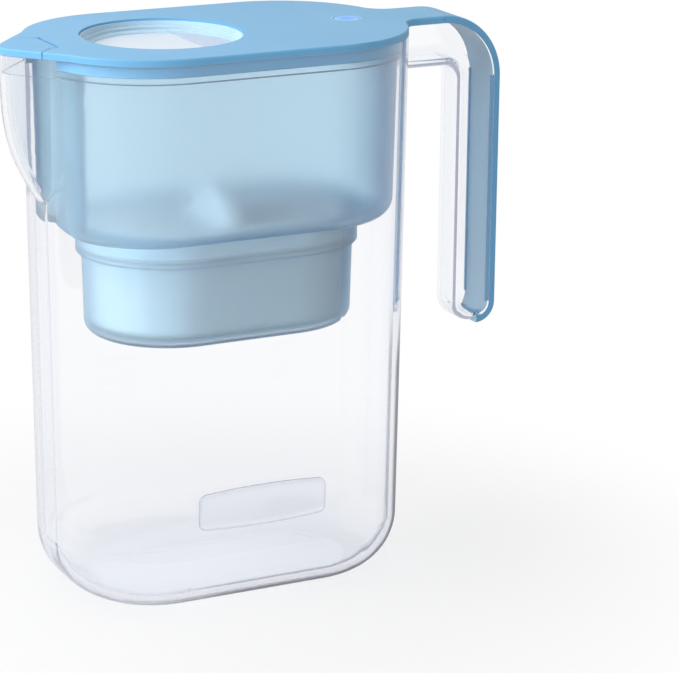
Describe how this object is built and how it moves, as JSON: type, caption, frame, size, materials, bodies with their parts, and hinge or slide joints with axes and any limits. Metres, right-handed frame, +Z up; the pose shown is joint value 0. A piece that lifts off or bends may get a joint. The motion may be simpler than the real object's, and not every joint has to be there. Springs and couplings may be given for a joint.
{
  "type": "water filter pitcher",
  "caption": "Clear water filter pitcher with a hook handle, translucent upper tank, oval filter cartridge and a blue lid with a fill flap, a pouring flap and a filter indicator.",
  "frame": {"origin": "middle of the jug's flat base, on the surface it stands on", "axes": "+X towards the handle, -X towards the spout, +Z up, symmetric about the XZ plane"},
  "size_m": [0.2465, 0.1178, 0.262],
  "materials": {
    "clear_plastic": "polished clear moulding",
    "blue_plastic": "satin sky blue",
    "blue_translucent": "translucent light blue moulding",
    "frosted_plastic": "translucent bluish white",
    "white_plastic": "satin white",
    "filter_granules": "loose granules",
    "filter_mesh": "fine woven mesh",
    "seal_rubber": "soft moulded rubber",
    "steel": "bright drawn steel",
    "light_lens": "lit blue lens",
    "pale_plastic": "pale blue diffuser",
    "board": "green solder mask",
    "black_plastic": "plain black",
    "lamp_white": "white lamp body",
    "nickel": "nickel plating"
  },
  "bodies": {
    "jug": {"jug": "clear_plastic", "handle_cover": "blue_plastic"},
    "reservoir": {"reservoir": "blue_translucent"},
    "cartridge": {"cartridge_cup": "white_plastic", "cartridge_cap": "white_plastic", "filter_media": "filter_granules", "inlet_screen": "filter_mesh", "outlet_screen": "filter_mesh", "cartridge_seal": "seal_rubber"},
    "lid": {"lid": "blue_plastic", "fill_ring": "frosted_plastic", "flap_pin": "steel", "spout_flap_pin": "steel", "light_ring": "pale_plastic", "button_seal": "seal_rubber", "circuit_board": "board", "indicator_led": "lamp_white", "tact_switch": "black_plastic", "coin_cell": "nickel", "battery_clip": "nickel", "module_cover": "blue_plastic", "module_gasket": "seal_rubber", "module_screws": "steel"},
    "fill_flap": {"fill_flap": "white_plastic", "flap_counterweight": "steel"},
    "spout_flap": {"spout_flap": "blue_plastic"},
    "indicator_button": {"indicator_button": "light_lens"}
  },
  "joints": [
    {"name": "reservoir_lift", "type": "slide", "parent": "jug", "child": "reservoir", "axis": [0, 0, 1], "range_m": [0, 0.14]},
    {"name": "cartridge_lift", "type": "slide", "parent": "reservoir", "child": "cartridge", "axis": [0, 0, 1], "range_m": [0, 0.135]},
    {"name": "lid_lift", "type": "slide", "parent": "cartridge", "child": "lid", "axis": [0, 0, 1], "range_m": [0, 0.06]},
    {"name": "fill_flap_hinge", "type": "hinge", "parent": "lid", "child": "fill_flap", "pos_m": [-0.0102, 0, 0.2532], "axis": [0, -1, 0], "range_deg": [0, 55]},
    {"name": "spout_flap_hinge", "type": "hinge", "parent": "lid", "child": "spout_flap", "pos_m": [-0.08295, 0, 0.26035], "axis": [0, 1, 0], "range_deg": [0, 60]},
    {"name": "indicator_press", "type": "slide", "parent": "lid", "child": "indicator_button", "axis": [0, 0, -1], "range_m": [0, 0.0008], "stiffness_N_per_m": 600}
  ]
}
